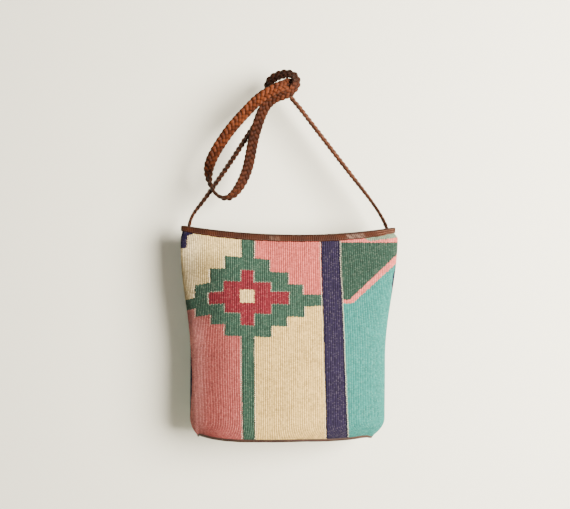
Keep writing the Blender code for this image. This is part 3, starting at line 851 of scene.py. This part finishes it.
def make_lining():
    """A thin cotton bag inside the woven one, softly creased, open at the top."""
    drop = RIM_INSIDE + CLEAR
    count = 150
    total = 2 * count
    place = np.arange(total) / total * 2 * pi
    outside = KILIM + LINING_EASE

    def crease(share):
        wave = np.sin(place * 9 + share * 5) + 0.6 * np.sin(place * 17 - share * 9 + 1)
        wave = wave + 0.5 * np.sin(share * 23 + place * 4)
        return 0.0005 * (wave + 2.1) * ease(share, 0.02, 0.15) * (1 - ease(share, 0.9, 1.0))
    bottom = LINING_FOOT / BODY_HEIGHT
    rows = []
    for share in (bottom, *LINING_SHARES):
        rows.append(ring_row(count, share, outside + crease(share), drop))
    for share in reversed((bottom * 2, *LINING_SHARES)):
        rows.append(ring_row(count, share, outside + LINING + crease(share), drop))
    points = pinch(np.concatenate([*rows, [rows[0].mean(axis=0), rows[-1].mean(axis=0)]]))
    end, low = (len(rows) - 1) * total, len(rows) * total
    faces = grid_faces(len(rows), total, closed=True)
    faces += fan(low, 0, total) + fan(low + 1, end, total, flip=True)
    add_piece("lining_bag", points, faces, lining_cloth(), ["lining"])


def rim_depth(angle):
    """How far the strip comes down over the cloth: least at the mouth's two corners."""
    return mix(RIM_DEPTH, RIM_CORNER_DEPTH, np.abs(np.cos(angle)) ** 4)


def rim_waver(place):
    """Small unevenness of the strip's cut edge, round the mouth."""
    return 0.0002 * np.sin(place * 23) + 0.00015 * np.sin(place * 57 + 2)


def make_rim():
    """The thin leather strip folded over the mouth, showing the ribs beneath."""
    count = RIBS * 3
    total = 2 * count
    shares = np.concatenate(ring(count))
    angle, _ = outline_angles(BODY_HEIGHT, shares)
    depth = rim_depth(angle) + rim_waver(np.arange(total) / total * 2 * pi)
    outer = RIB_HEIGHT + CLEAR
    inner = KILIM + CLEAR
    inside = inner + LEATHER
    rib = 0.00022 * np.abs(np.sin(pi * RIBS * shares))
    x = ring_row(count, 1.0, 0.0)[:, 0]
    pucker = 0.0005 * np.sin(x * 420 + 1.0) * ease(x, 0.095, 0.12) * (1 - ease(x, 0.142, 0.150))
    face = -outer - LEATHER - rib - np.abs(pucker) * 0.6
    fold = 0.0009

    # Each row's inset, its depth below the mouth's edge and its place on the rim's own map
    rows = [(-outer, depth, 0), (-outer - LEATHER * 0.6, depth + 0.0001, 0)]
    rows.append((face, depth - 0.0005, 0.5))
    for part, up in ((0.8, 2.2), (0.6, 4.4), (0.4, 6.4)):
        rows.append((face - pucker * part, depth * part, up))
    rows += [
        (face, depth * 0.25, 8.0), (face, fold, 9.4), (face + fold * 0.35, fold * 0.3, 9.9),
        (face + fold, 0.0, 10.6), (inside - fold, 0.0, 12),
        (inside - fold * 0.3, fold * 0.35, 12.6),
    ]
    rows += [(inside, RIM_INSIDE * part, up) for part, up in ((0.15, 14), (0.5, 17), (0.95, 20))]
    rows += [
        (inner + LEATHER * 0.4, RIM_INSIDE, 20.5), (inner, RIM_INSIDE, 20.5),
        (inner, LEATHER, 21), (-outer, LEATHER, 22),
    ]
    points = np.concatenate([ring_row(count, 1.0, inset, low) for inset, low, _ in rows])
    weave = np.concatenate([
        np.stack([shares * RIBS / 100, np.full(total, up / 100)], axis=1) for _, _, up in rows
    ])
    end = (len(rows) - 1) * total
    faces = grid_faces(len(rows), total, closed=True)
    faces += [(end + i, end + (i + 1) % total, (i + 1) % total, i) for i in range(total)]
    add_piece(
        "rim_strip", points, faces, rim_hide(), ["rim_binding"], {"weave": weave},
    )


def make_base():
    """The oval leather base, with a lip that stands a little over the cloth's lower edge."""
    count = 180
    total = 2 * count
    over = RIB_HEIGHT + CLEAR
    bottom = CLEAR + BASE_THICKNESS
    rows = [  # each row's inset, and its depth below the cloth's lower edge
        (0.0035, CLEAR), (-0.0002, CLEAR), (-over, CLEAR - 0.0004), (-over, -0.0013),
        (-over - 0.0004, -0.0017), (-over - 0.0008, -0.0012), (-over - 0.0009, CLEAR),
        (-BASE_LIP * 1.9, CLEAR + 0.0009), (-BASE_LIP * 1.4, CLEAR + 0.0016),
        (-BASE_LIP * 0.5, CLEAR + 0.0021), (0.0006, bottom), (0.0030, bottom),
        (0.0038, bottom - 0.0003), (0.0046, bottom), (0.012, bottom), (0.025, bottom),
    ]
    points = []
    for inset, down in rows:
        up = max(-down, 0.0)
        row = ring_row(count, up / BODY_HEIGHT, inset)
        row[:, 2] -= down + up
        points.append(row)
    points = pinch(np.concatenate([*points, [points[-1].mean(axis=0), points[0].mean(axis=0)]]))
    end, low = (len(rows) - 1) * total, len(rows) * total
    faces = grid_faces(len(rows), total, closed=True, flip=True)
    faces += fan(low, end, total) + fan(low + 1, 0, total, flip=True)
    add_piece("base_oval", points, faces, base_hide("base_hide"), ["base_leather"])


# Strap


def corner_top(side):
    centre, half_width, _, _ = body_at(CORNER_HEIGHT)
    return float(mouth_height(centre + side * half_width)) - HANG


def inside_reach(half_gap):
    """How far from the mouth's centre the space inside the rim is still this deep."""
    _, half_width, half_depth, power = body_at(CORNER_HEIGHT)
    inset = KILIM + max(LINING_EASE + LINING, CLEAR + LEATHER)
    return (half_width - inset) * sqrt(1 - (half_gap / (half_depth - inset)) ** (1 / power))


def strap_foot(side):
    return float(body_at(CORNER_HEIGHT)[0]) + side * inside_reach(STRAP_WIDTH / 2 + STRAP_EASE)


def strap_keys():
    """The strap's route with its two sewn ends, in metres."""
    def end(side):
        depths = (STRAP_INSIDE, STRAP_INSIDE / 2, STRAP_ENTRY)
        return [(strap_foot(side), 0, corner_top(side) - depth, 0) for depth in depths]
    keys = [(x / 1000, y / 1000, z / 1000, radians(turn)) for x, y, z, turn in ROUTE]
    return end(-1) + keys + end(1)[::-1]


def through(keys, count):
    """Places along one smooth curve through the keys, at even steps of its length."""
    keys = np.array(keys)
    times = run_length(keys[:, :3], 0.75)
    gaps = np.diff(times)
    size = len(times)
    system = np.eye(size)
    slopes = np.zeros((size, keys.shape[1]))
    for i in range(1, size - 1):
        system[i, i - 1:i + 2] = gaps[i], 2 * (gaps[i - 1] + gaps[i]), gaps[i - 1]
        before = (keys[i] - keys[i - 1]) / gaps[i - 1]
        after = (keys[i + 1] - keys[i]) / gaps[i]
        slopes[i] = 3 * (gaps[i] * before + gaps[i - 1] * after)
    slopes[0] = (keys[1] - keys[0]) / gaps[0]
    slopes[-1] = (keys[-1] - keys[-2]) / gaps[-1]
    slopes = np.linalg.solve(system, slopes)
    fine = np.linspace(0, times[-1], 6000)
    index = np.clip(np.searchsorted(times, fine, side="right") - 1, 0, size - 2)
    t = ((fine - times[index]) / gaps[index])[:, None]
    gap = gaps[index][:, None]
    spots = (
        (2 * t**3 - 3 * t**2 + 1) * keys[index] + (t**3 - 2 * t**2 + t) * gap * slopes[index]
        + (3 * t**2 - 2 * t**3) * keys[index + 1] + (t**3 - t**2) * gap * slopes[index + 1]
    )
    length = run_length(spots[:, :3])
    even = np.linspace(0, length[-1], count)
    return np.stack([np.interp(even, length, column) for column in spots.T], axis=1), length[-1]


def unit(vectors):
    return vectors / np.linalg.norm(vectors, axis=1, keepdims=True)


def strap_frames(count):
    """Centres, width directions, face directions and the whole length of the strap."""
    spots, length = through(strap_keys(), count)
    run = unit(np.gradient(spots[:, :3], axis=0))
    flat = unit(np.stack([-run[:, 2], np.zeros(count), run[:, 0]], axis=1))
    turn = spots[:, 3:4]
    width = np.array([[0, 1, 0]]) * np.cos(turn) + flat * np.sin(turn)
    width = unit(width - run * np.sum(width * run, axis=1, keepdims=True))
    return spots[:, :3], width, np.cross(run, width), length


def full(value):
    """A sine made blunter, for a squarer section."""
    return abs(value) ** 0.6 * (1 if value > 0 else -1)


def make_strap():
    """The flat plait of leather thongs, each passing over and under the others."""
    centre, width, out, length = strap_frames(STRAP_STEPS)
    along = np.linspace(0, length, STRAP_STEPS)
    lift = (PLAIT_THICKNESS - THONG_THICKNESS) / 2
    angles = np.arange(THONG_SIDES) / THONG_SIDES * 2 * pi
    points, faces, run_map, thong_map = [], [], [], []
    for thong in range(THONGS):
        phase = along / PLAIT * 2 * pi + thong / THONGS * 2 * pi
        across = THONG_SWING * np.sin(phase)
        height = lift * np.sin((THONGS - 1) * phase)
        path = centre + width * across[:, None] + out * height[:, None]
        direction = unit(np.gradient(path, axis=0))
        flat = unit(np.cross(out, direction))
        flat = unit(flat - direction * np.sum(flat * direction, axis=1, keepdims=True))
        up = np.cross(direction, flat)
        faces += tube_faces(len(points), STRAP_STEPS, THONG_SIDES)
        for step in range(STRAP_STEPS):
            above = abs(height[step]) / lift * 0.5
            for a in angles:
                aside = flat[step] * (THONG_WIDTH / 2 * cos(a))
                outward = up[step] * (THONG_THICKNESS / 2 * full(sin(a)))
                points.append(path[step] + aside + outward)
                run_map.append((step / STRAP_STEPS, abs(cos(a)) * 0.5 + 0.5))
                thong_map.append(((thong + 0.5) / 100, (above + abs(sin(a)) * 0.5) / 100))
    maps = {"run": run_map, "thong": thong_map}
    add_piece("strap_plait", points, faces, strap_hide(), ["strap"], maps)


# Stitches and tabs


def stitches(name, spots, directions, length, thickness, material):
    """Small plump stitches, one at each spot along its direction."""
    section, stations = 6, 5
    points, faces = [], []
    for spot, direction in zip(spots, directions):
        along = Vector(direction).normalized()
        side = along.orthogonal().normalized()
        up = along.cross(side)
        faces += tube_faces(len(points), stations, section)
        for step in range(stations):
            share = step / (stations - 1) * 2 - 1
            radius = thickness / 2 * (0.35 + 0.65 * sqrt(max(1 - share**4, 0)))
            middle = Vector(spot) + along * (share * length / 2)
            for k in range(section):
                a = k / section * 2 * pi
                points.append(middle + side * (radius * cos(a)) + up * (radius * sin(a)))
    add_piece(name, points, faces, material)


def sew_round(name, loop, stitch, material):
    """Stitches at even steps round a closed run of points."""
    pitch, length, thickness = stitch
    points = np.concatenate([loop, loop[:1]])
    run = run_length(points)
    even = (np.arange(int(run[-1] / pitch)) + 0.5) * pitch

    def at(places):
        return np.stack([np.interp(places, run, column) for column in points.T], axis=1)
    directions = at(even + 0.0005) - at(even - 0.0005)
    stitches(name, at(even), directions, length, thickness, material)


def make_rim_stitches(material):
    count = 400
    angle, _ = outline_angles(BODY_HEIGHT, np.concatenate(ring(count)))
    out = RIB_HEIGHT + CLEAR + LEATHER + 0.00012
    outside = ring_row(count, 1.0, -out, rim_depth(angle) - 0.0019)
    sew_round("rim_stitches_outside", outside, RIM_STITCH, material)
    inside = ring_row(count, 1.0, KILIM + CLEAR + LEATHER + 0.0001, RIM_INSIDE - 0.0018)
    sew_round("rim_stitches_inside", inside, RIM_STITCH, material)


def make_base_stitches(material):
    row = ring_row(300, 0.0, 0.0038)
    row[:, 2] -= CLEAR + BASE_THICKNESS
    sew_round("base_stitches", pinch(row), BASE_STITCH, material)


def make_side_stitches(material):
    """Overcast stitches that close the two side seams."""
    shares = np.linspace(0.02, 0.955, SIDE_STITCHES)
    spots = [
        wall([end], share, -RIB_HEIGHT * 0.4, -1, LEATHER + CLEAR)[0]
        for end in (0.0, 1.0) for share in shares
    ]
    directions = [(0.0, 1.0, 0.45)] * len(spots)
    stitches("side_stitches", pinch(spots), directions, *SIDE_STITCH, material)


TAB_CORNER = 0.0035
TAB_SEAM = 0.82  # the stitches' place, as a share of the tab's outline
# Each row's share of the tab's thickness and of its outline
TAB_ROWS = (
    (0.0, 0.985), (0.15, 1.0), (0.7, 1.0), (1.0, 0.965), (1.0, 0.86), (0.9, TAB_SEAM),
    (1.0, 0.78), (1.0, 0.3),
)


def make_tab(name, side, material, thread):
    """The leather patch sewn over the strap's end, with rounded corners."""
    centre = float(body_at(CORNER_HEIGHT)[0])
    face = abs(strap_foot(side) - centre) - STRAP_THICKNESS / 2 - CLEAR
    face = min(face, inside_reach(TAB_WIDTH / 2 + CLEAR))
    outer, inner = centre + side * face, centre + side * (face - TAB_THICKNESS)
    middle = corner_top(side) - TAB_TOP - TAB_HEIGHT / 2
    outline = []
    for quarter, (beside, above) in enumerate(((1, 1), (-1, 1), (-1, -1), (1, -1))):
        for step in range(7):
            a = pi / 2 * (quarter + step / 6)
            outline.append((
                (TAB_WIDTH / 2 - TAB_CORNER) * beside + TAB_CORNER * cos(a),
                (TAB_HEIGHT / 2 - TAB_CORNER) * above + TAB_CORNER * sin(a),
            ))
    y, z = np.array(outline).T
    count = len(outline)

    def row(x, size):
        return np.stack([np.full(count, x), y * size, middle + z * size], axis=1)
    rows = [row(outer + (inner - outer) * share, size) for share, size in TAB_ROWS]
    points = np.concatenate([*rows, [(outer, 0, middle), (inner, 0, middle)]])
    end, low = (len(rows) - 1) * count, len(rows) * count
    flip = side > 0
    faces = grid_faces(len(rows), count, closed=True, flip=flip)
    faces += fan(low, 0, count, flip) + fan(low + 1, end, count, not flip)
    add_piece(name + "_patch", points, faces, material, [name])
    sew_round(name + "_stitches", row(inner, TAB_SEAM), TAB_STITCH, thread)


# Stage and light


BACKDROP_COLOUR = (0.97, 0.94, 0.80, 1)
FLOOR_COLOUR = (0.22, 0.21, 0.19, 1)
LIGHTS = (  # name, place, size, power and colour
    ("window", (1.29, -1.34, -0.08), 1.3, 184, (1.0, 0.95, 0.86)),
    ("fill", (-0.4, -2.3, 0.1), 1.6, 8, (1.0, 0.96, 0.90)),
    ("back", (0.6, 2.0, 0.6), 1.6, 22, (1.0, 0.98, 0.95)),
)
LIT_POINT = (0.0, 0.0, -0.3)
AIR_COLOUR = (0.93, 0.92, 0.88, 1)
AIR_STRENGTH = 0.045


def plain_stage(name, points, colour, one_way):
    """One flat sheet of the stage. A one-way sheet shows from its front alone."""
    finish = Finish(name, {"Roughness": 0.95, "Specular IOR Level": 0.1, "Base Color": colour})
    if one_way:
        behind = finish.node("ShaderNodeNewGeometry", None, (), "Backfacing")
        clear = finish.node("ShaderNodeBsdfTransparent")
        body = Value(finish, finish.shader.outputs[0])
        both = finish.node("ShaderNodeMixShader", None, (behind, body, clear))
        finish.feed(finish.tree.nodes["Material Output"].inputs["Surface"], both)
    made = mesh_object(name, points, [(0, 1, 2, 3)], finish.material)
    made.visible_shadow = not one_way


def make_stage():
    wide, far, low, high = 3.0, 0.0515, -0.78, 1.6
    upright = [(-wide, far, low), (wide, far, low), (wide, far, high), (-wide, far, high)]
    plain_stage("backdrop", upright, BACKDROP_COLOUR, True)
    flat = [(-wide, -wide, low), (wide, -wide, low), (wide, wide, low), (-wide, wide, low)]
    plain_stage("floor", flat, FLOOR_COLOUR, False)


def make_lights():
    for name, place, size, power, colour in LIGHTS:
        data = bpy.data.lights.new(name, "AREA")
        data.shape = "DISK"
        data.size = size
        data.energy = power
        data.color = colour
        made = linked(name, data)
        made.location = place
        toward = Vector(LIT_POINT) - Vector(place)
        made.rotation_euler = toward.to_track_quat("-Z", "Y").to_euler()
    world = bpy.data.worlds.new("air")
    world.use_nodes = True
    air = world.node_tree.nodes["Background"]
    air.inputs["Color"].default_value = AIR_COLOUR
    air.inputs["Strength"].default_value = AIR_STRENGTH
    bpy.context.scene.world = world


def make_camera():
    data = bpy.data.cameras.new("camera")
    data.sensor_width = 36
    data.lens = LENS
    made = linked("camera", data)
    made.location = CAMERA
    made.rotation_euler = (radians(90), 0, 0)
    bpy.context.scene.camera = made


make_camera()
make_strap()
front = woven_panel("front_panel", "kilim_front", -1, front_cloth())
back = woven_panel("back_panel", "kilim_back", 1, back_cloth())
make_lining()
make_rim()
make_base()
brown_thread = sewing_thread("brown_thread", BROWN_THREAD)
pale_thread = sewing_thread("pale_thread", PALE_THREAD)
make_rim_stitches(brown_thread)
make_base_stitches(pale_thread)
make_side_stitches(brown_thread)
tab_leather = base_hide("tab_hide")
make_tab("strap_tab_left", -1, tab_leather, pale_thread)
make_tab("strap_tab_right", 1, tab_leather, pale_thread)
make_stage()
make_lights()
